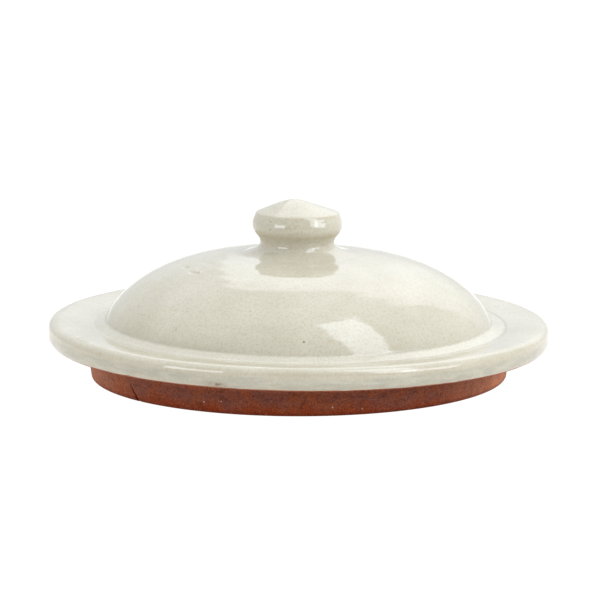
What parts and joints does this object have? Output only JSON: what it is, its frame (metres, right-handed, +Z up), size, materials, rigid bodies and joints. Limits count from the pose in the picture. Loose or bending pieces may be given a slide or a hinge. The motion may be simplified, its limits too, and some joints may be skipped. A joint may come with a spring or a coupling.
{
  "type": "crock lid",
  "caption": "Round domed lid of a glazed earthenware butter crock, with a turned knob, a broad rim and a bare clay locating ring underneath.",
  "frame": {"origin": "under the centre of the rim, on the plane that the foot of the locating ring rests on", "axes": "+Z up through the knob, +Y to the back, +X to the right; the rim leans 0.65 degrees down towards +X"},
  "size_m": [0.2001, 0.2, 0.0707],
  "materials": {
    "bare_clay": "matt, fired and unglazed",
    "cream_glaze": "gloss"
  },
  "bodies": {
    "root": {"knob": "bare_clay", "dome_and_rim": "bare_clay", "locating_ring": "bare_clay", "glaze_coat": "cream_glaze"}
  },
  "joints": []
}
